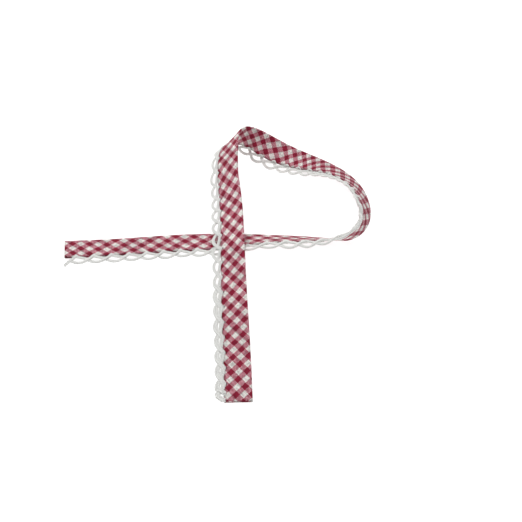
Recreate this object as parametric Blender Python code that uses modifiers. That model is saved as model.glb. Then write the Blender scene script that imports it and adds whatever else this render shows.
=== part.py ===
# A length of folded gingham bias tape with a crochet edging,
# laid down in one open loop whose second end crosses over the first.
import math

import bmesh
import bpy
import numpy as np

# sizes of the tape and the edging, in millimetres
BAND_WIDTH = 12.0          # folded tape, fold to open edge
BAND_THICK = 1.2           # four layers of pressed cotton
FOLD_ROUND = 0.35          # how far the folded edge is rounded in
MOUTH_DEPTH = 0.5          # groove where the two leaves meet at the open edge
MOUTH_WIDTH = 0.4
GAP = 0.3                  # air between tape and edging
LACE_THICK = 1.0
LACE_PITCH = 8.8           # one crochet loop
HEADER = 0.8               # row of stitches along the tape
HOLE_LENGTH = 5.6          # open eye of a loop, along the tape
HOLE_DEPTH = 2.2           # the same eye, away from the tape
LACE_CREST = 4.2           # from the tape to the top of a loop
LACE_VALLEY = 3.1          # from the tape to the dip between two loops
STEP = 2.0                 # distance between cross-sections

# how the tape lies: middle of the band from the first cut end to the second;
# roll turns the plain edge about the direction of travel,
# 0 = flat with the plain edge to the left, -180 = flat and turned over
STATION_COLUMNS = ("x", "y", "z", "roll")
STATIONS = (
    (-96.0, 6.8, 1.0, -4),      # first cut end, lying on the table
    (-73.0, 8.2, 1.0, -4),
    (-50.0, 10.4, 1.0, -4),
    (-30.0, 11.8, 1.1, -5),     # just before the crossing
    (-12.0, 12.0, 1.8, -12),
    (5.0, 11.5, 3.3, -27),      # edging lifts, tape rests on its plain edge
    (23.0, 10.5, 4.2, -34),
    (35.0, 9.8, 5.2, -47),
    (43.5, 11.5, 6.2, -67),     # bend, standing on the plain edge
    (49.2, 18.0, 7.0, -95),
    (51.5, 28.0, 6.8, -121),
    (51.0, 39.0, 6.0, -133),
    (46.5, 51.0, 5.4, -147),
    (37.0, 61.0, 5.0, -162),
    (24.0, 68.0, 4.8, -183),    # far side, lying over on the other face
    (11.0, 74.0, 5.7, -207),
    (1.0, 78.5, 8.6, -233),
    (-8.0, 80.5, 12.4, -268),   # raised corner, standing on the edging
    (-14.5, 75.0, 15.0, -303),
    (-16.8, 65.0, 14.6, -325),
    (-17.0, 52.0, 11.6, -328),
    (-15.5, 36.0, 9.4, -333),
    (-14.3, 18.0, 8.8, -338),   # passes over the first tail
    (-13.6, 2.0, 7.8, -340),
    (-12.9, -16.0, 5.2, -345),
    (-12.0, -34.0, 2.7, -351),
    (-11.0, -52.0, 1.0, -357),
    (-10.2, -68.0, 0.6, -360),
    (-9.6, -84.0, 0.6, -360),   # second cut end, flat on the table
)

# from the zero of the rows above to the middle of the footprint, on the table
SHIFT = np.array([20.37, 1.04, 0.04])

TO_METRES = 0.001
UP = np.array([0.0, 0.0, 1.0])


def clear_scene():
    """Remove every object that a new file starts with."""
    for item in list(bpy.data.objects):
        bpy.data.objects.remove(item, do_unlink=True)


def spline(knots, values, at):
    """Natural cubic spline through rows of values, read at the places in at."""
    count = len(knots)
    gaps = np.diff(knots)
    matrix = np.eye(count)
    right = np.zeros_like(values)
    slope = np.diff(values, axis=0) / gaps[:, None]
    for row in range(1, count - 1):
        matrix[row, row - 1] = gaps[row - 1]
        matrix[row, row] = 2.0 * (gaps[row - 1] + gaps[row])
        matrix[row, row + 1] = gaps[row]
        right[row] = 6.0 * (slope[row] - slope[row - 1])
    bend = np.linalg.solve(matrix, right)
    cell = np.clip(np.searchsorted(knots, at, side="right") - 1, 0, count - 2)
    width = gaps[cell][:, None]
    below = (at - knots[cell])[:, None]
    above = width - below
    cubic = (bend[cell] * above ** 3 + bend[cell + 1] * below ** 3) / (6.0 * width)
    start = (values[cell] / width - bend[cell] * width / 6.0) * above
    end = (values[cell + 1] / width - bend[cell + 1] * width / 6.0) * below
    return cubic + start + end


class Course:
    """The line the tape follows, read by distance from its first cut end."""

    def __init__(self, stations):
        rows = np.array(stations, dtype=float)
        chord = np.linalg.norm(np.diff(rows[:, :3], axis=0), axis=1)
        knots = np.concatenate(([0.0], np.cumsum(chord)))
        fine = np.linspace(0.0, knots[-1], 4001)
        self.rows = spline(knots, rows, fine)
        run = np.linalg.norm(np.diff(self.rows[:, :3], axis=0), axis=1)
        self.distance = np.concatenate(([0.0], np.cumsum(run)))
        self.length = self.distance[-1]
        self.ahead = np.gradient(self.rows[:, :3], self.distance, axis=0)

    def read(self, table, at):
        """Linear reading of one finely sampled table at the distances in at."""
        columns = [np.interp(at, self.distance, column) for column in table.T]
        return np.stack(columns, axis=1)

    def points(self, at, across, lift):
        """Points beside the line: across along the width, lift off the face."""
        at = np.asarray(at, dtype=float)
        rows = self.read(self.rows, at)
        ahead = self.read(self.ahead, at)
        ahead /= np.linalg.norm(ahead, axis=1)[:, None]
        left = np.cross(UP, ahead)
        left /= np.linalg.norm(left, axis=1)[:, None]
        over = np.cross(ahead, left)
        roll = np.radians(rows[:, STATION_COLUMNS.index("roll")])[:, None]
        width = np.cos(roll) * left + np.sin(roll) * over
        face = np.cross(ahead, width)
        across = np.asarray(across, dtype=float)[:, None]
        lift = np.asarray(lift, dtype=float)[:, None]
        return rows[:, :3] + SHIFT + across * width + lift * face


def tape_section():
    """Outline of the folded tape: (across, lift) pairs around one section."""
    half = BAND_WIDTH / 2.0
    thick = BAND_THICK / 2.0
    round_in = FOLD_ROUND
    mouth = MOUTH_WIDTH / 2.0
    return (
        (half, 0.0),
        (half - 0.3 * round_in, 0.5 * thick),
        (half - round_in, thick),
        (0.0, thick),
        (-half + 0.5 * round_in, thick),
        (-half, 0.7 * thick),
        (-half, mouth),
        (-half + MOUTH_DEPTH, 0.0),
        (-half, -mouth),
        (-half, -0.7 * thick),
        (-half + 0.5 * round_in, -thick),
        (0.0, -thick),
        (half - round_in, -thick),
        (half - 0.3 * round_in, -0.5 * thick),
    )


def build_tape(course):
    """Loft the tape section along the course and close both cut ends."""
    section = tape_section()
    count = int(round(course.length / STEP)) + 1
    stops = np.linspace(0.0, course.length, count)
    rings = []
    mesh = bmesh.new()
    for stop in stops:
        across = [pair[0] for pair in section]
        lift = [pair[1] for pair in section]
        ring = course.points([stop] * len(section), across, lift) * TO_METRES
        rings.append([mesh.verts.new(point) for point in ring])
    size = len(section)
    for first, second in zip(rings, rings[1:]):
        for side in range(size):
            other = (side + 1) % size
            mesh.faces.new((first[side], first[other], second[other], second[side]))
    mesh.faces.new(rings[0])
    mesh.faces.new(list(reversed(rings[-1])))
    bmesh.ops.recalc_face_normals(mesh, faces=mesh.faces)
    return mesh


def loop_columns():
    """Columns of one crochet loop: (distance, half height of the eye) pairs."""
    start = (LACE_PITCH - HOLE_LENGTH) / 2.0
    shape = ((0.0, 0.0), (0.1, 0.55), (0.28, 0.88), (0.5, 1.0),
             (0.72, 0.88), (0.9, 0.55), (1.0, 0.0))
    return [(start + part * HOLE_LENGTH, height * HOLE_DEPTH / 2.0)
            for part, height in shape]


def build_lace(course):
    """Open sheet of the edging: a row of stitches and loops with open eyes."""
    edge = -BAND_WIDTH / 2.0 - GAP
    middle = edge - HEADER - HOLE_DEPTH / 2.0
    loops = int(course.length // LACE_PITCH)
    spare = (course.length - loops * LACE_PITCH) / 2.0
    columns = [(0.0, 0.0)]
    for loop in range(loops):
        for distance, half in loop_columns():
            columns.append((spare + loop * LACE_PITCH + distance, half))
    columns.append((course.length, 0.0))
    at = np.array([column[0] for column in columns])
    half = np.array([column[1] for column in columns])
    swing = 0.5 - 0.5 * np.cos(2.0 * math.pi * (at - spare) / LACE_PITCH)
    outer = edge - LACE_VALLEY - (LACE_CREST - LACE_VALLEY) * swing
    flat = np.zeros(len(at))
    rows = [course.points(at, flat + edge, flat),
            course.points(at, middle + half, flat),
            course.points(at, middle - half, flat),
            course.points(at, outer, flat)]
    mesh = bmesh.new()
    grid = []
    for index in range(len(at)):
        near, upper, lower, far = (mesh.verts.new(row[index] * TO_METRES)
                                   for row in rows)
        if half[index] == 0.0:
            mesh.verts.remove(lower)
            lower = upper
        grid.append((near, upper, lower, far))
    for first, second in zip(grid, grid[1:]):
        mesh.faces.new((first[0], second[0], second[1], first[1]))
        mesh.faces.new((first[2], second[2], second[3], first[3]))
    bmesh.ops.recalc_face_normals(mesh, faces=mesh.faces)
    return mesh


def make_material(name, colour, roughness):
    """Plain cloth material with the colour seen in the photo."""
    material = bpy.data.materials.new(name)
    material.use_nodes = True
    shader = material.node_tree.nodes["Principled BSDF"]
    shader.inputs["Base Color"].default_value = (*colour, 1.0)
    shader.inputs["Roughness"].default_value = roughness
    shader.inputs["Metallic"].default_value = 0.0
    return material


def add_object(name, mesh, material, collection):
    """Put one finished mesh into the collection under its own name."""
    data = bpy.data.meshes.new(name)
    mesh.to_mesh(data)
    mesh.free()
    data.materials.append(material)
    item = bpy.data.objects.new(name, data)
    collection.objects.link(item)
    return item


def thicken(item, thickness):
    """Give an open sheet its thickness, half to each side."""
    solid = item.modifiers.new("thickness", "SOLIDIFY")
    solid.thickness = thickness * TO_METRES
    solid.offset = 0.0
    solid.use_even_offset = True
    solid.use_rim = True


clear_scene()
collection = bpy.data.collections.new("bias_tape_with_crochet_edging")
bpy.context.scene.collection.children.link(collection)

course = Course(STATIONS)
gingham = make_material("gingham_cotton", (0.42, 0.12, 0.15), 0.85)
crochet = make_material("crochet_cotton", (0.80, 0.80, 0.78), 0.80)

add_object("tape", build_tape(course), gingham, collection)
lace = add_object("lace", build_lace(course), crochet, collection)
thicken(lace, LACE_THICK)
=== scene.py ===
# %% [markdown]
# A length of bias tape with a crochet edging, lying in one open loop.
# The real thing is a strip of gingham cut on the slant and pressed in half,
# with both raw edges turned in. A crochet machine works white cotton over the open edge.
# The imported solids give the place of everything. The steps below dress them:
# first the line the tape follows, then the cloth, then the crochet, then the finishes.

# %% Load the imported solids
import math

import bpy
import numpy as np
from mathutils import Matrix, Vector


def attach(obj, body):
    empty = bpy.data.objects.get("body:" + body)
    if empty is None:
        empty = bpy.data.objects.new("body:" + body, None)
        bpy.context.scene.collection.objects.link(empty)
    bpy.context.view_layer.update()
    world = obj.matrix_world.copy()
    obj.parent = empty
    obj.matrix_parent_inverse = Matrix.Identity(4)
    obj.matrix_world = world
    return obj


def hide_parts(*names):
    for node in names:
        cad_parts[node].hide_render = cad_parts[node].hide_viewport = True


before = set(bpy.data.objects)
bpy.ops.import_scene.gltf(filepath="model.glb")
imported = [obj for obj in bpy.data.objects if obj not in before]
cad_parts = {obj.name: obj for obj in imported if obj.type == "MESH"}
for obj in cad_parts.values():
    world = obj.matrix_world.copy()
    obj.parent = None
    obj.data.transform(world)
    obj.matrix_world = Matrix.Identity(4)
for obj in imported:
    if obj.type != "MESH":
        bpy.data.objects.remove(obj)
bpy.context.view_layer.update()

# %% [markdown]
# Lengths are easiest to read in millimetres, as on a tape measure, so every size
# below is a number of MM. Blender itself works in metres.

# %% Sizes of the tape
MM = 0.001
TAPE_WIDTH = 12.0 * MM          # folded tape, plain fold to open edge
TAPE_THICK = 1.2 * MM           # four layers of pressed cotton
CLOTH_THICK = 0.26 * MM         # one layer
TURN_IN = 4.6 * MM              # raw edge turned to the inside of each leaf
LOOP_PITCH = 8.5 * MM           # one crochet loop, where nothing pulls on it
HOLE_BEFORE = 0.20              # needle hole before the crest of its loop, in pitches
HOLE_INSET = 0.9 * MM           # needle holes, inside the open edge

# %% [markdown]
# The tape lies along a smooth line. Each row of the table is one place where the
# tape was looked at: the middle of the band, and its roll about the way it runs.
# Roll 0 is flat with the plain fold to the left, -180 is flat and turned over,
# and -360 is flat again, so the tape turns over once on its way round the loop.

# %% Places that the tape passes
COURSE = (                      # x, y, z in millimetres, roll in degrees
    (-96.0, 6.8, 1.0, -4),
    (-73.0, 8.2, 1.0, -4),
    (-50.0, 10.4, 1.0, -4),
    (-30.0, 11.8, 1.1, -5),
    (-12.0, 12.0, 1.8, -12),
    (5.0, 11.5, 3.3, -27),
    (23.0, 10.5, 4.2, -34),
    (35.0, 9.8, 5.2, -47),
    (43.5, 11.5, 6.2, -67),
    (49.2, 18.0, 7.0, -95),
    (51.5, 28.0, 6.8, -121),
    (51.0, 39.0, 6.0, -133),
    (46.5, 51.0, 5.4, -147),
    (37.0, 61.0, 5.0, -162),
    (24.0, 68.0, 4.8, -183),
    (11.0, 74.0, 5.7, -207),
    (1.0, 78.5, 8.6, -233),
    (-8.0, 80.5, 12.4, -268),
    (-14.5, 75.0, 15.0, -303),
    (-16.8, 65.0, 14.6, -325),
    (-17.0, 52.0, 11.6, -328),
    (-15.5, 36.0, 9.4, -333),
    (-14.3, 18.0, 8.8, -338),
    (-13.6, 2.0, 7.8, -340),
    (-12.9, -16.0, 5.2, -345),
    (-12.0, -34.0, 2.7, -351),
    (-11.0, -52.0, 1.0, -357),
    (-10.2, -68.0, 0.6, -360),
    (-9.6, -84.0, 0.6, -360),
)
COURSE_SHIFT = (20.37, 1.04, 0.04)   # from the table's zero to the middle of the footprint
print(len(COURSE), "places, the highest", max(row[2] for row in COURSE), "mm up")

# %% [markdown]
# A cubic through these places bends as gently as a pressed ribbon does. It is sampled
# finely, and at each sample three directions are kept: ahead along the tape, across it
# towards the plain fold, and off its face.

# %% The line the tape follows
COURSE_SAMPLES = 4001


def natural_spline(knots, values, at):
    """Cubic through rows of values whose bend is zero at both ends, read at the places in at."""
    count = len(knots)
    gap = np.diff(knots)
    slope = np.diff(values, axis=0) / gap[:, None]
    matrix = np.eye(count)
    inner = np.arange(1, count - 1)
    matrix[inner, inner - 1] = gap[:-1]
    matrix[inner, inner] = 2.0 * (gap[:-1] + gap[1:])
    matrix[inner, inner + 1] = gap[1:]
    right = np.zeros_like(values)
    right[1:-1] = 6.0 * np.diff(slope, axis=0)
    bend = np.linalg.solve(matrix, right)
    cell = np.clip(np.searchsorted(knots, at, side="right") - 1, 0, count - 2)
    width = gap[cell][:, None]
    after = (at - knots[cell])[:, None]
    before = width - after
    cubic = (bend[cell] * before ** 3 + bend[cell + 1] * after ** 3) / (6.0 * width)
    start = (values[cell] / width - bend[cell] * width / 6.0) * before
    end = (values[cell + 1] / width - bend[cell + 1] * width / 6.0) * after
    return cubic + start + end


def unit(vectors):
    """Each vector divided by its own length."""
    return vectors / np.linalg.norm(vectors, axis=-1, keepdims=True)


def run_along(points):
    """Way from the first point to each of them: the sum of the straight steps between."""
    steps = np.linalg.norm(np.diff(points, axis=0), axis=1)
    return np.concatenate(([0.0], np.cumsum(steps)))


course_rows = np.array(COURSE)
course_knots = run_along(course_rows[:, :3])
course_places = np.linspace(0.0, course_knots[-1], COURSE_SAMPLES)
course_fine = natural_spline(course_knots, course_rows, course_places)
line = (course_fine[:, :3] + COURSE_SHIFT) * MM
line_run = run_along(line)
TAPE_LENGTH = line_run[-1]
line_ahead = unit(np.gradient(line, line_run, axis=0))
line_left = unit(np.cross((0.0, 0.0, 1.0), line_ahead))
line_over = np.cross(line_ahead, line_left)
line_roll = np.radians(course_fine[:, 3:])
line_width = np.cos(line_roll) * line_left + np.sin(line_roll) * line_over
line_face = np.cross(line_ahead, line_width)
print("tape length", round(TAPE_LENGTH / MM, 1), "mm")

# %% [markdown]
# Everything on the tape is placed beside this line by three numbers: how far along the
# tape, how far across it and how far off its face. So cloth and yarn turn over with it.

# %% Places beside the line
def read(table, at):
    """Linear reading of a finely sampled table of vectors at the distances in at."""
    return np.stack([np.interp(at, line_run, column) for column in table.T], axis=-1)


def beside(at, across, lift):
    """Line point at distance at, plus across times the width direction, plus lift times the face
    direction. Before the first cut end and after the second it runs straight on."""
    inside = np.clip(at, 0.0, TAPE_LENGTH)
    beyond = (at - inside)[..., None] * read(line_ahead, inside)
    sideways = across[..., None] * read(line_width, inside)
    outward = lift[..., None] * read(line_face, inside)
    return read(line, inside) + beyond + sideways + outward


start_place = beside(np.zeros(1), np.zeros(1), np.zeros(1))[0]
print("the tape starts at", (start_place / MM).round(1), "mm")

# %% [markdown]
# Cloth and yarn press themselves flat where they lie on something. Heights under half a
# millimetre are squeezed, so that the lowest point of every piece ends just above the table.

# %% Rest on the table
SETTLE = 0.45 * MM              # heights below this one are squeezed


def settle(points):
    """Height z stays above SETTLE; below it becomes SETTLE times the exponential of
    (z - SETTLE) / SETTLE, which never reaches 0."""
    height = points[..., 2]
    squeezed = SETTLE * np.exp(np.minimum(height - SETTLE, 0.0) / SETTLE)
    low = np.where(height < SETTLE, squeezed, height)
    return np.concatenate([points[..., :2], low[..., None]], axis=-1)


# %% [markdown]
# Every new piece is a net of points. One small function turns a grid of points into
# four-sided faces, and another puts points, faces and pattern coordinates into a mesh.

# %% Turn grids of points into meshes
def grid_faces(rows, columns, first=0, round_columns=False):
    """Corner numbers of the squares between neighbouring rows and columns of a grid whose
    points are numbered row by row from first. round_columns joins the last column to the first."""
    row = np.arange(rows - 1)[:, None]
    column = np.arange(columns if round_columns else columns - 1)[None, :]
    other = (column + 1) % columns
    corners = (row * columns + column, row * columns + other,
               (row + 1) * columns + other, (row + 1) * columns + column)
    return np.stack(corners, axis=-1).reshape(-1, 4) + first


def make_piece(name, points, faces, charts=()):
    """New object at the origin with these points and four-sided faces. Each chart is
    (name, one pair of pattern coordinates a point)."""
    mesh = bpy.data.meshes.new(name)
    mesh.from_pydata(points.reshape(-1, 3).tolist(), [], faces.tolist())
    corner_points = np.empty(len(mesh.loops), dtype=np.int32)
    mesh.loops.foreach_get("vertex_index", corner_points)
    for chart_name, pairs in charts:
        chart = mesh.uv_layers.new(name=chart_name)
        chart.uv.foreach_set("vector", pairs.reshape(-1, 2)[corner_points].astype(np.float32).ravel())
    mesh.shade_smooth()
    mesh.update()
    item = bpy.data.objects.new(name, mesh)
    bpy.context.scene.collection.objects.link(item)
    print(name, len(points.reshape(-1, 3)), "points", len(faces), "faces")
    return item


# %% [markdown]
# The camera looks down at the table from 46 degrees, from about half a metre away,
# with a longish lens, as in a shop photograph.

# %% Camera
CAMERA_TILT = math.radians(46.0)
CAMERA_AWAY = 0.485             # metres from the middle of the table
CAMERA_SENSOR = 36.0
PICTURE_WIDTH = 522.0           # of the square photograph, in pixels
VIEW_LENGTH = 1000.0            # the same lens, in pixels
CAMERA_LENS = CAMERA_SENSOR * VIEW_LENGTH / PICTURE_WIDTH

camera_data = bpy.data.cameras.new("camera")
camera_data.sensor_width = CAMERA_SENSOR
camera_data.lens = CAMERA_LENS
camera = bpy.data.objects.new("camera", camera_data)
bpy.context.scene.collection.objects.link(camera)
camera_target = np.array(COURSE_SHIFT) * MM
camera_back = np.array((0.0, -math.cos(CAMERA_TILT), math.sin(CAMERA_TILT)))
camera.location = camera_target + CAMERA_AWAY * camera_back
camera.rotation_euler = (math.pi / 2 - CAMERA_TILT, 0.0, 0.0)
bpy.context.scene.camera = camera
print("camera at", (np.array(camera.location) / MM).round(0), "mm, lens", round(CAMERA_LENS, 1), "mm")

# %% [markdown]
# The cloth of the tape is one strip, folded: raw edge inside, out round the open edge,
# across the upper leaf, round the plain fold, back across the lower leaf, round its
# open edge and inside again. So the section is a short line in (across, lift), and the
# sheet is that line carried along the course. Solidify then gives the cloth its thickness.

# %% Section of the folded cloth
LEAF_LIFT = TAPE_THICK / 2 - CLOTH_THICK / 2       # middle of an outer leaf
HEM_LIFT = 0.16 * MM                               # middle of a turned-in layer
HEM_ROUND = (LEAF_LIFT - HEM_LIFT) / 2
HALF_WIDTH = TAPE_WIDTH / 2
HEM_POINTS, TURN_POINTS = 5, 7                     # in the turned-in layer, round the open edge
LEAF_POINTS, FOLD_POINTS = 21, 4                   # across the leaf, round half the plain fold
EDGE_CROWDING = 1.25                               # above 1, leaf points crowd to the open edge


def half_section():
    """Upper half of the section from the raw edge to the middle of the plain fold:
    rows of (across, lift, place across the unfolded cloth)."""
    turn = -HALF_WIDTH + HEM_ROUND
    fold = HALF_WIDTH - LEAF_LIFT
    inner_across = np.linspace(turn + TURN_IN, turn, HEM_POINTS, endpoint=False)
    inner_lift = np.full(HEM_POINTS, HEM_LIFT)
    inner = np.stack([inner_across, inner_lift, -TAPE_WIDTH - inner_across], axis=1)
    angle = np.linspace(-math.pi / 2, -3 * math.pi / 2, TURN_POINTS)
    edge_across = turn + HEM_ROUND * np.cos(angle)
    edge_lift = HEM_LIFT + HEM_ROUND + HEM_ROUND * np.sin(angle)
    edge_cloth = np.linspace(-TAPE_WIDTH - turn, turn, TURN_POINTS)
    edge = np.stack([edge_across, edge_lift, edge_cloth], axis=1)
    leaf_share = np.linspace(0.0, 1.0, LEAF_POINTS + 1)[1:] ** EDGE_CROWDING
    leaf_across = turn + (fold - turn) * leaf_share
    leaf = np.stack([leaf_across, np.full(LEAF_POINTS, LEAF_LIFT), leaf_across], axis=1)
    angle = np.linspace(math.pi / 2, 0.0, FOLD_POINTS + 1)[1:]
    fold_across = fold + LEAF_LIFT * np.cos(angle)
    fold_lift = LEAF_LIFT * np.sin(angle)
    fold_cloth = np.linspace(fold, HALF_WIDTH, FOLD_POINTS + 1)[1:]
    rounded = np.stack([fold_across, fold_lift, fold_cloth], axis=1)
    return np.concatenate([inner, edge, leaf, rounded])


upper_half = half_section()
lower_half = upper_half[-2::-1] * (1.0, -1.0, -1.0) + (0.0, 0.0, TAPE_WIDTH)
section = np.concatenate([upper_half, lower_half])
print("section of", len(section), "points")

# %% [markdown]
# A crochet machine spaces its loops evenly, but the edging stretches and closes up as it
# is handled. Each row here gives the crest of one loop, by its distance along the tape,
# and the loops between two rows share the way evenly. The last loop was cut short.

# %% Places of the crochet loops
LOOP_COUNT = 51
CREST_PLACES = (                # number of the loop, distance of its crest in millimetres
    (-2, -9.3),
    (0, 7.8),
    (4, 41.5),
    (10, 91.7),
    (13, 120.1),
    (21, 182.7),
    (27, 221.9),
    (30, 244.8),
    (34, 281.1),
    (49, 409.9),
    (50, 413.9),
    (51, 417.9),
)
crest_rows = np.array(CREST_PLACES) * (1.0, MM)


def crest_place(number):
    """Distance along the tape of loop number number; parts of a loop count too."""
    return np.interp(number, crest_rows[:, 0], crest_rows[:, 1])


def loops_passed(at):
    """The other way round: number of the loop whose crest is at the distance at."""
    return np.interp(at, crest_rows[:, 1], crest_rows[:, 0])


last_crest = crest_place(LOOP_COUNT - 1)
print(LOOP_COUNT, "loops, crest of the last at", round(last_crest / MM, 1), "mm")

# %% [markdown]
# Each needle hole draws the open edge in a little and leaves a small hollow, and the
# cloth between two holes stands up again. A slow, uneven wave keeps the long pressed
# faces from looking like card.

# %% Sheet of the tape
SHEET_STEP = 0.7 * MM
CUT_SLANT = 0.085               # the first cut leans: distance gained for each length across
CUT_REACH = 15.0 * MM           # and the lean fades over this distance
HOLE_PULL = 0.28 * MM           # how far a hole draws the open edge in
PULL_REACH = 2.5 * MM           # which fades over this width of the leaf
HOLE_HOLLOW = 0.22 * MM         # depth of the hollow round a hole
HOLE_SPREAD = 0.9 * MM          # and its reach
OUTER_FROM = 1.5 * HEM_LIFT     # lifts above this one belong to an outer leaf
WAVE_HEIGHT = 0.07 * MM
WAVE_LONG, WAVE_SHORT, WAVE_START = 23.0 * MM, 9.1 * MM, 1.3


def nearest_hole(at):
    """Signed distance along the tape from at to the nearest needle hole."""
    turn = loops_passed(at) + HOLE_BEFORE
    return (turn - np.round(turn)) * LOOP_PITCH


def tape_net(at, row):
    """Points of the folded cloth, from distances along the tape and rows of the section. Bell
    curves round each needle hole draw the open edge in and make a hollow. The wave is the
    product of two sines."""
    across, lift = row[:, 0], row[:, 1]
    at = at - CUT_SLANT * across * np.clip(1.0 - at / CUT_REACH, 0.0, 1.0)
    away = nearest_hole(at)
    bell = np.exp(-(away / HOLE_SPREAD) ** 2)
    edge_share = np.clip(1.0 - (across + HALF_WIDTH) / PULL_REACH, 0.0, 1.0)
    hollow = np.exp(-((across + HALF_WIDTH - HOLE_INSET) / HOLE_SPREAD) ** 2)
    outer = np.sign(lift) * (np.abs(lift) > OUTER_FROM)
    wave = np.sin(at / WAVE_LONG) * np.sin(at / WAVE_SHORT + WAVE_START)
    drawn = across + HOLE_PULL * bell * edge_share
    pressed = lift - outer * HOLE_HOLLOW * bell * hollow
    pressed = pressed + WAVE_HEIGHT * wave * np.cos(across / HALF_WIDTH)
    return beside(at, drawn, pressed)


sheet_rows = int(round(TAPE_LENGTH / SHEET_STEP)) + 1
sheet_at = np.repeat(np.linspace(0.0, TAPE_LENGTH, sheet_rows), len(section))
sheet_section = np.tile(section, (sheet_rows, 1))
sheet_points = settle(tape_net(sheet_at, sheet_section))
print("sheet of", sheet_rows, "sections, lowest", round(sheet_points[:, 2].min() / MM, 2), "mm")

# %% [markdown]
# Gingham has two sets of stripes that cross. The cloth is cut on the slant, so both sets
# run at an angle to the tape. The chart gives each point of the cloth two numbers: how
# many stripes of each set have been passed. A row of the table gives both counts in the
# middle of the band, and how fast they grow across it. The counts follow the real tape,
# where the slanted cloth gives a little round the bends.

# %% Count of the checks along and across the tape
# distance in millimetres, stripes passed of both sets, stripes for a millimetre across
CHECK_COUNTS = (
    (0.0, -1.06, -0.93, 0.150, -0.137),
    (10.8, 0.43, 0.25, 0.150, -0.137),
    (56.0, 6.56, 4.78, 0.150, -0.137),
    (181.0, 21.99, 17.27, 0.146, -0.160),
    (192.0, 23.90, 18.82, 0.113, -0.168),
    (203.0, 25.98, 20.13, 0.089, -0.169),
    (214.0, 28.04, 21.88, 0.096, -0.153),
    (225.0, 29.80, 23.15, 0.120, -0.137),
    (236.0, 31.17, 24.14, 0.141, -0.134),
    (245.0, 32.37, 25.50, 0.151, -0.136),
    (274.5, 37.16, 28.78, 0.150, -0.137),
    (321.1, 42.90, 33.10, 0.150, -0.137),
    (346.0, 46.44, 35.59, 0.150, -0.137),
    (362.0, 48.71, 37.35, 0.150, -0.137),
    (398.2, 53.90, 41.20, 0.150, -0.137),
    (417.7, 56.60, 43.20, 0.150, -0.137),
)
check_rows = np.array(CHECK_COUNTS)
cloth_place = sheet_section[:, 2] / MM
counted = [np.interp(sheet_at / MM, check_rows[:, 0], column) for column in check_rows[:, 1:].T]
first_count = counted[0] + counted[2] * cloth_place
second_count = counted[1] + counted[3] * cloth_place
check_chart = np.stack([first_count, second_count], axis=-1)
# the needle chart gives millimetres to the nearest needle hole and inwards from the row of holes; it
# places the painted shade of the holes and of the crochet's shadow
from_hole = sheet_section[:, 0] + HALF_WIDTH - HOLE_INSET
needle_chart = np.stack([np.abs(nearest_hole(sheet_at)), from_hole], axis=-1) / MM

tape = make_piece("gingham_tape", sheet_points, grid_faces(sheet_rows, len(section)),
                  [("checks", check_chart), ("needle", needle_chart)])
cloth_layer = tape.modifiers.new("cloth_thickness", "SOLIDIFY")
cloth_layer.thickness = CLOTH_THICK
cloth_layer.offset = 0.0
cloth_layer.use_even_offset = True

# %% [markdown]
# Yarn is round, so a strand is a tube along its path. Six sides are enough for something
# this thin. Each tube remembers the distance along it and the turn round it, and the
# twist of the yarn is drawn from these two.

# %% Tubes for strands
STRAND_SIDES = 6
END_SHARE = 0.5                 # radius at the two ends of a strand, as a share of the rest


def tube(path, radius, first):
    """Round tube along a path: at each point a circle square to the path, the last ones
    smaller. Its two ends are closed. The circles start from a guide direction, the one
    that the path runs along least. Returns points, faces and (distance, turn) pairs."""
    run = run_along(path)
    ahead = unit(np.gradient(path, run, axis=0))
    guide = np.linalg.svd(ahead, full_matrices=False)[2][-1]
    one = unit(np.cross(ahead, guide))
    two = np.cross(ahead, one)
    angle = np.linspace(0.0, 2 * math.pi, STRAND_SIDES, endpoint=False)
    size = radius * np.ones(len(path))
    size[[0, -1]] *= END_SHARE
    circle = np.cos(angle)[None, :, None] * one[:, None] + np.sin(angle)[None, :, None] * two[:, None]
    points = path[:, None] + size[:, None, None] * circle
    pairs = np.stack(np.broadcast_arrays(run[:, None] / MM, angle[None, :] / (2 * math.pi)), axis=-1)
    step = np.arange(0, STRAND_SIDES - 2, 2)
    cap = np.stack([0 * step, step + 1, step + 2, step + 3], axis=-1)
    faces = [grid_faces(len(path), STRAND_SIDES, first, round_columns=True), cap[:, ::-1] + first,
             cap + first + (len(path) - 1) * STRAND_SIDES]
    return points.reshape(-1, 3), np.concatenate(faces), pairs.reshape(-1, 2)


def tubes_piece(name, paths, radii):
    """One piece made of a tube along each path, settled on the table."""
    points, faces, pairs, count = [], [], [], 0
    for path, radius in zip(paths, radii):
        tube_points, tube_faces, tube_pairs = tube(path, radius, count)
        points.append(tube_points)
        faces.append(tube_faces)
        pairs.append(tube_pairs)
        count += len(tube_points)
    return make_piece(name, settle(np.concatenate(points)), np.concatenate(faces),
                      [("strand", np.concatenate(pairs))])


# %% [markdown]
# A crochet cord is a row of chain stitches. Seen from a step away it is a plait of three
# strands, so the cord is drawn as one: each strand swings from side to side while it
# goes over and under twice as fast, and the three keep a third of a turn apart.

# %% Plaited cord
CORD_SWING = 0.52 * MM          # of a strand to either side
CORD_RISE = 0.20 * MM           # and up and down
STRAND_RADIUS = 0.35 * MM
PLAIT_LENGTH = 3.4 * MM         # for one whole swing


def plait(at, across, lift, phase, fullness):
    """Three strands round a cord whose middle is given beside the tape: sideways swing of
    sin(turn), rise of sin(2 turn), a third of a turn apart, all times the fullness."""
    middle = beside(at, across, lift)
    run = run_along(middle)
    ahead = unit(np.gradient(middle, run, axis=0))
    face = read(line_face, np.clip(at, 0.0, TAPE_LENGTH))
    side = unit(np.cross(face, ahead))
    rise = np.cross(ahead, side)
    strands = []
    for third in range(3):
        turn = 2 * math.pi * (run / PLAIT_LENGTH + third / 3.0 + phase)
        swing = CORD_SWING * fullness * np.sin(turn)
        lifted = CORD_RISE * fullness * np.sin(2 * turn)
        strands.append(middle + swing[:, None] * side + lifted[:, None] * rise)
    return strands


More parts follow.
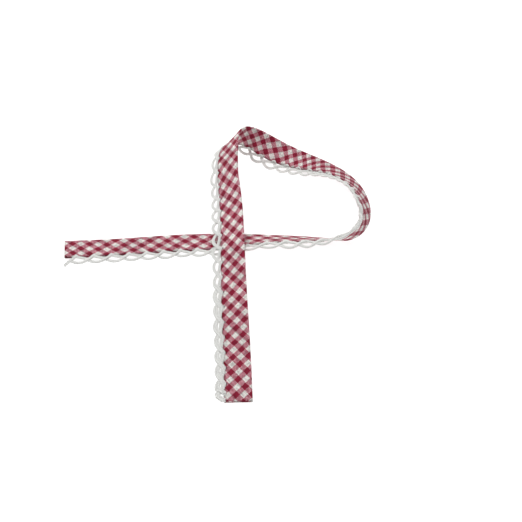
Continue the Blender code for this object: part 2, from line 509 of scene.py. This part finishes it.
# %% [markdown]
# Each crochet loop starts at one needle hole, runs slantwise out to a knot, bulges out
# to its crest, comes back to the next knot and ends in the needle hole after that.
# So every loop overlaps its neighbours like a fish scale: its first half lies under
# the loop before it, its second half over the loop after it. Where one side of the
# tape is lifted, before the bend, the edging leans down to the table.

# %% One crochet loop
LOOP = (                        # pitches from the crest, out from the edge and lift in mm
    (-1.20, -1.10, 0.66),
    (-1.12, 0.25, 0.50),
    (-0.95, 0.75, 0.22),
    (-0.72, 1.25, 0.00),
    (-0.50, 2.15, -0.22),
    (-0.27, 3.60, -0.10),
    (0.00, 4.20, 0.00),
    (0.27, 3.60, 0.10),
    (0.50, 2.15, 0.30),
    (0.66, 1.20, 0.40),
    (0.76, 0.40, 0.52),
    (0.80, -1.10, 0.70),
)
LOOP_POINTS = 84
LEAN_PLACE, LEAN_REACH = 125.0 * MM, 27.0 * MM   # where it leans down from the lifted tape
LEAN_MOST = 0.10 * MM                            # for each square millimetre of the way out
REACH_PLACES = (150.0 * MM, 250.0 * MM)          # between these two the ends of the cords draw back
REACH_SHARES = (1.0, 0.45)                       # from the needle holes to this share of the way
DRIFT_REACH = 0.4                                # pitches from the crest that move with it


def lean_share(at):
    """1 in the middle of the stretch where the edging leans down to the table, falling off
    to 0 as the exponential of the fourth power of the distance."""
    return np.exp(-((at - LEAN_PLACE) / LEAN_REACH) ** 4)


def through_rows(table, count):
    """Natural cubic through the rows of a table, read at count even places."""
    rows = np.array(table)
    knots = np.arange(len(rows), dtype=float)
    return natural_spline(knots, rows, np.linspace(0.0, len(rows) - 1.0, count))


def crochet_loop(number, depth, drift):
    """Middle of one loop: the cubic through LOOP with its way out times depth, or times the
    reach on the cloth. A bell curve moves the crest along by drift. The lift loses the
    square of the way out where the edging leans."""
    fine = through_rows(LOOP, LOOP_POINTS)
    reach = np.interp(crest_place(number), REACH_PLACES, REACH_SHARES)
    out = fine[:, 1] * np.where(fine[:, 1] > 0, depth, reach)
    at = crest_place(number + fine[:, 0]) + drift * np.exp(-(fine[:, 0] / DRIFT_REACH) ** 2)
    lift = fine[:, 2] * MM - LEAN_MOST * lean_share(at) * np.maximum(out, 0.0) ** 2
    return at, -HALF_WIDTH - out * MM, lift


yarn_way = run_along(beside(*crochet_loop(2, 1.0, 0.0)))[-1]
print("the cord of one loop is", round(yarn_way / MM, 1), "mm long")

# %% [markdown]
# No two loops of a real edging are quite alike, so chance moves each crest a little. Near
# the second end the edging was drawn in, and its cords lie closer and look fuller. A cord
# that goes into a needle hole is pulled thin there.

# %% Lay the loops along the tape
LEAN_GAIN = 0.30                                 # cords are this much fuller where they lean
FULL_FROM, FULL_TO = 343.0 * MM, 362.0 * MM      # where the edging grows closer
FULL_GAIN = 0.42                                 # its cords are this much fuller after that
FULL_CREST = 0.74                                # and its crests keep this share of their height
HOLE_NARROW = 0.55                               # fullness of a cord in its needle hole
NARROW_FROM = 0.6 * MM                           # it narrows from here, out from the edge
FIRST_CORD, LAST_CORD = 3.0 * MM, 0.3 * MM       # no cord nearer to the first and second cut end
DEPTH_SPREAD, DRIFT_SPREAD = 0.05, 0.3 * MM      # chance in the height and place of a crest

random = np.random.default_rng(7)


def full_share(at):
    """0 before FULL_FROM, 1 after FULL_TO, and between them three times the square of the
    share of the way, less twice its cube."""
    share = np.clip((at - FULL_FROM) / (FULL_TO - FULL_FROM), 0.0, 1.0)
    return share * share * (3.0 - 2.0 * share)


loop_paths = []
loop_radii = []


def add_cord(at, across, lift):
    """Adds the three strands of one cord and their radius along it. The fullness falls to
    HOLE_NARROW of itself where the cord goes into its needle hole."""
    narrow = np.interp(-HALF_WIDTH - across, (-HOLE_INSET, NARROW_FROM), (HOLE_NARROW, 1.0))
    fullness = narrow * (1.0 + FULL_GAIN * full_share(at) + LEAN_GAIN * lean_share(at))
    loop_paths.extend(plait(at, across, lift, random.random(), fullness))
    loop_radii.extend([STRAND_RADIUS * fullness] * 3)


for number in range(LOOP_COUNT):
    depth = 1.0 + DEPTH_SPREAD * random.standard_normal()
    depth *= 1.0 + (FULL_CREST - 1.0) * full_share(crest_place(number))
    drift = DRIFT_SPREAD * random.standard_normal()
    at, across, lift = crochet_loop(number, depth, drift)
    kept = (at > FIRST_CORD) & (at < TAPE_LENGTH - LAST_CORD)
    add_cord(at[kept], across[kept], lift[kept])
print(len(loop_paths), "strands in", LOOP_COUNT, "loops")

# %% [markdown]
# At the first cut end the chain was cut too. Its free end points away from the tape and
# drops to the table.

# %% Free end of the chain
FREE_END = (                    # from the first cut end, out from the edge and lift in mm
    (6.05, -1.10, 0.70),
    (5.60, 0.35, 0.52),
    (4.60, 1.50, 0.30),
    (2.90, 2.70, -0.20),
    (1.60, 3.80, -0.70),
    (0.60, 4.50, -1.10),
)
free_end = through_rows(FREE_END, LOOP_POINTS // 2) * MM
add_cord(free_end[:, 0], -HALF_WIDTH - free_end[:, 1], free_end[:, 2])
scallops = tubes_piece("crochet_loops", loop_paths, loop_radii)

# %% [markdown]
# At each needle hole a few turns of the cotton go round the open edge and hold both
# leaves together. They leave one hole and spread like a fan.

# %% Stitches round the open edge
STITCH_RADIUS = 0.24 * MM
STITCH_FAN = (-1.5, -0.5, 0.5, 1.5)   # millimetres along the tape, at the open edge
STITCH_OUT = 0.35 * MM                # past the open edge
STITCH_LIFT = 0.12 * MM               # off the face at the hole
STITCH_POINTS = 9
HOLE_MARGIN = 2.0 * MM                # no needle hole nearer to a cut end


def edge_stitch(hole, spread):
    """Half an ellipse round the open edge, from the hole on one face to the hole on the other.
    Its place along the tape is the hole's, plus spread times the cosine of the angle."""
    angle = np.linspace(-math.pi / 2, math.pi / 2, STITCH_POINTS)
    at = hole + spread * np.cos(angle)
    across = -HALF_WIDTH + HOLE_INSET - (HOLE_INSET + STITCH_OUT) * np.cos(angle)
    lift = (TAPE_THICK / 2 + STITCH_LIFT) * np.sin(angle)
    return beside(at, across, lift)


holes = crest_place(np.arange(LOOP_COUNT + 1) - HOLE_BEFORE)
holes = holes[(holes > HOLE_MARGIN) & (holes < TAPE_LENGTH - HOLE_MARGIN)]
stitch_paths = [edge_stitch(hole, spread * MM) for hole in holes for spread in STITCH_FAN]
stitches = tubes_piece("edge_stitches", stitch_paths, [STITCH_RADIUS] * len(stitch_paths))

# %% [markdown]
# Finishes. One function adds a shader node with its settings and links, and one turns
# a colour written the usual way, as six hex digits, into the linear values Blender uses.

# %% Colour and node helpers
def linear(hex_colour):
    """sRGB hex digits to linear red, green, blue and alpha."""
    channels = [int(hex_colour[i:i + 2], 16) / 255.0 for i in (1, 3, 5)]
    bent = [c / 12.92 if c <= 0.04045 else ((c + 0.055) / 1.055) ** 2.4 for c in channels]
    return (*bent, 1.0)


def node(material, kind, *inputs, **named):
    """Adds a shader node. inputs go to its sockets in order, and None leaves one as it is.
    A name is a setting of the node or else a socket. A node stands for its first output."""
    made = material.node_tree.nodes.new("ShaderNode" + kind)
    joined = list(zip(made.inputs, inputs))
    for name, value in named.items():
        if hasattr(made, name):
            setattr(made, name, value)
        else:
            joined.append((made.inputs[name], value))
    for socket, value in joined:
        if isinstance(value, bpy.types.Node):
            value = value.outputs[0]
        if isinstance(value, bpy.types.NodeSocket):
            material.node_tree.links.new(value, socket)
        elif value is not None:
            socket.default_value = value
    return made


def new_material(name):
    """Material with nodes, and its Principled shader."""
    material = bpy.data.materials.new(name)
    material.use_nodes = True
    return material, material.node_tree.nodes["Principled BSDF"]


print("white in linear values is", linear("#FFFFFF"))

# %% [markdown]
# Yarn-dyed gingham cotton, woven one over one. A stripe is six dyed threads and then six
# white ones, in both directions, so both sets dyed gives deep crimson, one set gives a
# speckled pink and none gives white. Where a white thread crosses a dyed one, the red
# shines through and it blushes. Real thread is about a quarter of a millimetre apart.
# Twelve threads in a 5 mm check are almost twice as coarse, so that the weave can be seen.

# %% Gingham cotton: which thread lies on top
THREADS = 12.0                # in one repeat of the check
gingham, gingham_shader = new_material("gingham_cotton")
chart = node(gingham, "UVMap", uv_map="checks")
counts = node(gingham, "SeparateXYZ", chart)
first_place = node(gingham, "Math", counts.outputs[0], THREADS, operation="MULTIPLY")
second_place = node(gingham, "Math", counts.outputs[1], THREADS, operation="MULTIPLY")
first_number = node(gingham, "Math", first_place, operation="FLOOR")
second_number = node(gingham, "Math", second_place, operation="FLOOR")
both_numbers = node(gingham, "Math", first_number, second_number, operation="ADD")
first_over = node(gingham, "Math", both_numbers, 2.0, operation="FLOORED_MODULO")


def on_top(first, second):
    """Value of the thread that lies on top: first where first_over is 1, second where it is 0."""
    return node(gingham, "Mix", first_over, None, second, first, data_type="FLOAT")


def dyed(number):
    """1 where a thread is one of the dyed half of its repeat, else 0."""
    moved = node(gingham, "Math", number, THREADS / 4, operation="ADD")
    turn = node(gingham, "Math", moved, THREADS, operation="FLOORED_MODULO")
    return node(gingham, "Math", turn, THREADS / 2, operation="LESS_THAN")


first_dyed = dyed(first_number)
second_dyed = dyed(second_number)
top_dyed = on_top(first_dyed, second_dyed)
sets_dyed = node(gingham, "Math", first_dyed, second_dyed, operation="ADD")
print("gingham_cotton weave:", len(gingham.node_tree.nodes), "nodes")

# %% Gingham cotton: colour of each crossing
WHITE_ALONE, WHITE_BLUSHED = "#E2DED9", "#D3A6AE"
RED_ALONE, RED_DEEP = "#9E2644", "#891532"
SETS_SHARE, TOP_SHARE = 0.2, 0.6   # of the ramp, for each dyed set and for a dyed thread on top
top_part = node(gingham, "Math", top_dyed, TOP_SHARE, operation="MULTIPLY")
hue_share = node(gingham, "Math", sets_dyed, SETS_SHARE, top_part, operation="MULTIPLY_ADD")
colours = node(gingham, "ValToRGB", hue_share)
ramp = colours.color_ramp
for place, colour in ((SETS_SHARE, WHITE_BLUSHED), (SETS_SHARE + TOP_SHARE, RED_ALONE)):
    ramp.elements.new(place).color = linear(colour)
ramp.elements[0].color = linear(WHITE_ALONE)
ramp.elements[-1].color = linear(RED_DEEP)
print("gingham_cotton ramp at", [round(element.position, 2) for element in ramp.elements])

# %% [markdown]
# Each thread is a low rounded ridge where it lies on top and dips where it goes under.
# The valleys between threads hold a little shade, and the dye took unevenly. No two
# yarns are quite alike either, so each one is a little lighter or darker along its length,
# and thicker and thinner spots in it, the slubs, change the tone from place to place. They
# are drawn two threads wide, because smaller ones would not show in the picture.

# %% Gingham cotton: relief of the threads
CROWN_GAIN = 0.45                         # how much the round of the thread below adds


def ridge(place):
    """1 along the middle of a thread, falling off as a parabola to 0 at its sides."""
    share = node(gingham, "Math", place, operation="FRACT")
    off = node(gingham, "Math", share, 2.0, -1.0, operation="MULTIPLY_ADD")
    squared = node(gingham, "Math", off, off, operation="MULTIPLY")
    return node(gingham, "Math", 1.0, squared, operation="SUBTRACT")


first_ridge = ridge(first_place)
second_ridge = ridge(second_place)
along = on_top(first_ridge, second_ridge)
crown = on_top(second_ridge, first_ridge)
thread_height = node(gingham, "Math", crown, CROWN_GAIN, along, operation="MULTIPLY_ADD")
print("gingham_cotton relief:", len(gingham.node_tree.nodes), "nodes")

# %% Gingham cotton: light and dark of the yarns
# each tone is a least shade, and a gain on top of it
VALLEY_LEAST, VALLEY_GAIN = 0.80, 0.16
FIBRE_LEAST, FIBRE_GAIN = 0.90, 0.20
DYE_LEAST, DYE_GAIN = 0.88, 0.24
SLUB_LEAST, SLUB_GAIN, YARN_GAIN = 0.58, 0.40, 0.44
SLUB_THREADS = 2.0                        # width of a slub
FIBRE_SCALE, DYE_SCALE = 70.0, 2.3        # spots in one repeat of the check
SECOND_START = 500.5                      # keeps the two sets of yarns apart in the noise

fibre_noise = node(gingham, "TexNoise", chart, Scale=FIBRE_SCALE, Detail=3.0)
dye_noise = node(gingham, "TexNoise", chart, Scale=DYE_SCALE, Detail=4.0)
valley_shade = node(gingham, "Math", thread_height, VALLEY_GAIN, VALLEY_LEAST, operation="MULTIPLY_ADD")
fibre_shade = node(gingham, "Math", fibre_noise, FIBRE_GAIN, FIBRE_LEAST, operation="MULTIPLY_ADD")
dye_shade = node(gingham, "Math", dye_noise, DYE_GAIN, DYE_LEAST, operation="MULTIPLY_ADD")
first_yarn = node(gingham, "TexWhiteNoise", noise_dimensions="1D", W=first_number)
second_start = node(gingham, "Math", second_number, SECOND_START, operation="ADD")
second_yarn = node(gingham, "TexWhiteNoise", noise_dimensions="1D", W=second_start)
yarn_tone = on_top(first_yarn, second_yarn)
slub_numbers = []
for number in (first_number, second_number):
    slub_number = node(gingham, "Math", number, 1.0 / SLUB_THREADS, operation="MULTIPLY")
    slub_numbers.append(node(gingham, "Math", slub_number, operation="FLOOR"))
slub = node(gingham, "TexWhiteNoise", node(gingham, "CombineXYZ", *slub_numbers), noise_dimensions="2D")
slub_shade = node(gingham, "Math", slub, SLUB_GAIN, SLUB_LEAST, operation="MULTIPLY_ADD")
yarn_shade = node(gingham, "Math", yarn_tone, YARN_GAIN, slub_shade, operation="MULTIPLY_ADD")
print("gingham_cotton tones:", len(gingham.node_tree.nodes), "nodes")

# %% [markdown]
# The needle holes get painted shade, small dark dots just inside the open edge, and the
# shadow of the crochet is painted as a soft shade on the last millimetre of cloth beside it.
# All the shades are multiplied into the colour, and the height of the threads becomes a bump.

# %% Gingham cotton: painted shade at the needle holes and by the crochet, and the whole finish
HOLE_DARK, HOLE_CLEAR = 0.35, 0.75        # millimetres from the middle of a hole
HOLE_PAINTED_SHADE = 0.25
EDGE_DARK, EDGE_CLEAR = -0.7, 0.2         # millimetres inwards from the row of holes
EDGE_PAINTED_SHADOW = 0.62
WEAVE_BUMP = 0.12 * MM

needle = node(gingham, "UVMap", uv_map="needle")
needle_parts = node(gingham, "SeparateXYZ", needle)
hole_away = node(gingham, "VectorMath", needle, operation="LENGTH").outputs["Value"]
# painted shade: the colour darkens inside each needle hole, where shade falls
hole_painted_shade = node(gingham, "MapRange", hole_away, HOLE_DARK, HOLE_CLEAR, HOLE_PAINTED_SHADE, 1.0)
# painted shadow: the cloth darkens along the open edge, under the crochet
edge_painted_shadow = node(gingham, "MapRange", needle_parts.outputs[1], EDGE_DARK, EDGE_CLEAR, EDGE_PAINTED_SHADOW, 1.0)
shade = valley_shade
for other_shade in (fibre_shade, dye_shade, hole_painted_shade, yarn_shade, edge_painted_shadow):
    shade = node(gingham, "Math", shade, other_shade, operation="MULTIPLY")
shaded = node(gingham, "VectorMath", colours, operation="SCALE", Scale=shade)
bump = node(gingham, "Bump", Strength=0.6, Distance=WEAVE_BUMP, Height=thread_height)
gingham.node_tree.links.new(shaded.outputs[0], gingham_shader.inputs["Base Color"])
gingham.node_tree.links.new(bump.outputs[0], gingham_shader.inputs["Normal"])
gingham_shader.inputs["Roughness"].default_value = 0.88
gingham_shader.inputs["Specular IOR Level"].default_value = 0.25
gingham_shader.inputs["Sheen Weight"].default_value = 0.08
print("gingham_cotton whole:", len(gingham.node_tree.nodes), "nodes")

# %% [markdown]
# Crochet cotton is a white yarn of two plies twisted together. The twist is drawn as
# slanting grooves that run round each strand, one turn every millimetre and a half.

# %% Crochet cotton: twist of the plies
TWIST_LENGTH = 1.5                        # millimetres for one turn of the twist
PLIES = 2.0
PLY_ROUND = 3.0                           # power of the fall to the groove, so plies are plump

cotton, cotton_shader = new_material("crochet_cotton")
strand = node(cotton, "SeparateXYZ", node(cotton, "UVMap", uv_map="strand"))
twist = node(cotton, "Math", strand, 1.0 / TWIST_LENGTH, strand.outputs[1], operation="MULTIPLY_ADD")
ply = node(cotton, "Math", node(cotton, "Math", twist, PLIES, operation="MULTIPLY"), operation="FRACT")
ply_off = node(cotton, "Math", ply, 2.0, -1.0, operation="MULTIPLY_ADD")
ply_away = node(cotton, "Math", ply_off, operation="ABSOLUTE")
ply_fall = node(cotton, "Math", ply_away, PLY_ROUND, operation="POWER")
ply_height = node(cotton, "Math", 1.0, ply_fall, operation="SUBTRACT")
print("crochet_cotton twist:", len(cotton.node_tree.nodes), "nodes")

# %% [markdown]
# The yarn is mercerised, which gives it a faint gloss. The grooves are painted with shade,
# greyer than the plies, and fine fuzz breaks up both with random tone. Light goes a little
# way into the fibres, so even the shaded side of a strand stays pale.

# %% Crochet cotton: colour and finish
# the grooves between the plies get painted shade, and the fuzz a random tone; both reach the grey end of
# the ramp
PLY_SHADE_GAIN, FUZZ_GAIN = 0.8, 0.3            # how much the grooves and the fuzz change the colour
FUZZ_SCALE = 1800.0                       # spots in a metre, about half a millimetre each
COTTON_SHADE_AND_FUZZ_GREY, COTTON_WHITE, WHITE_FROM = "#BDBEBB", "#F0F0ED", 0.6
PLY_BUMP = 0.1 * MM

place_in_part = node(cotton, "TexCoord").outputs["Object"]
fuzz = node(cotton, "TexNoise", place_in_part, Scale=FUZZ_SCALE, Detail=3.0)
# painted shade: the colour is greyer down in each groove of the twist
ply_painted_shade = node(cotton, "Math", ply_height, PLY_SHADE_GAIN, operation="MULTIPLY")
ply_shade_and_fuzz = node(cotton, "Math", fuzz, FUZZ_GAIN, ply_painted_shade, operation="MULTIPLY_ADD")
ply_colours = node(cotton, "ValToRGB", ply_shade_and_fuzz)
ply_colours.color_ramp.elements[0].color = linear(COTTON_SHADE_AND_FUZZ_GREY)
ply_colours.color_ramp.elements[1].color = linear(COTTON_WHITE)
ply_colours.color_ramp.elements[1].position = WHITE_FROM
ply_bump = node(cotton, "Bump", Strength=0.7, Distance=PLY_BUMP, Height=ply_height)
cotton.node_tree.links.new(ply_colours.outputs[0], cotton_shader.inputs["Base Color"])
cotton.node_tree.links.new(ply_bump.outputs[0], cotton_shader.inputs["Normal"])
cotton_shader.inputs["Roughness"].default_value = 0.62
cotton_shader.inputs["Subsurface Weight"].default_value = 0.15
cotton_shader.inputs["Subsurface Radius"].default_value = (1.0, 1.0, 1.0)
cotton_shader.inputs["Subsurface Scale"].default_value = 0.6 * MM
cotton_shader.inputs["Specular IOR Level"].default_value = 0.35
cotton_shader.inputs["Sheen Weight"].default_value = 0.06
print("crochet_cotton whole:", len(cotton.node_tree.nodes), "nodes")

# %% [markdown]
# The tape lies on a plain white light table, as for a shop picture: the board glows a
# little from below, so that next to no shadow is left round the tape. A wide softbox
# above and a white room give soft light. The picture uses Blender's Standard view, so
# that a white table stays white and the dyed red keeps its hue.

# %% Table and light
TABLE_HALF = 8.0                # metres; wide enough that its far side is a level horizon
TABLE_GLOW = 0.88
ROOM_GLOW = 0.36
SOFTBOX_PLACE = (-0.2, 0.4, 1.0)
SOFTBOX_SIDE, SOFTBOX_POWER = 0.9, 9.6

bpy.context.scene.view_settings.view_transform = "Standard"
table_points = np.array([(-1, -1, 0), (1, -1, 0), (1, 1, 0), (-1, 1, 0)]) * TABLE_HALF
table = make_piece("table_top", table_points, np.array([[0, 1, 2, 3]]))
opal_glass, glass_shader = new_material("opal_glass")
glass_shader.inputs["Base Color"].default_value = linear("#A3A3A2")
glass_shader.inputs["Roughness"].default_value = 0.9
glass_shader.inputs["Emission Color"].default_value = linear("#FFFFFF")
glass_shader.inputs["Emission Strength"].default_value = TABLE_GLOW

room = bpy.data.worlds.new("white_room")
bpy.context.scene.world = room
room.use_nodes = True
room.node_tree.nodes["Background"].inputs["Color"].default_value = linear("#FFFFFF")
room.node_tree.nodes["Background"].inputs["Strength"].default_value = ROOM_GLOW

softbox_data = bpy.data.lights.new("main_softbox", "AREA")
softbox_data.size = SOFTBOX_SIDE
softbox_data.energy = SOFTBOX_POWER
softbox = bpy.data.objects.new("main_softbox", softbox_data)
bpy.context.scene.collection.objects.link(softbox)
softbox.location = SOFTBOX_PLACE
softbox.rotation_mode = "QUATERNION"
softbox.rotation_quaternion = Vector(SOFTBOX_PLACE).to_track_quat("Z", "Y")

# %% [markdown]
# Each piece gets its finish and moves with the part's one body.

# %% Give each piece its finish and its place in the part
for piece, material in ((tape, gingham), (scallops, cotton), (stitches, cotton), (table, opal_glass)):
    piece.data.materials.append(material)
for piece, slot in ((tape, "gingham_cotton"), (scallops, "crochet_cotton"), (stitches, "crochet_cotton")):
    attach(piece, "root")
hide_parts("tape")
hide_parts("lace")
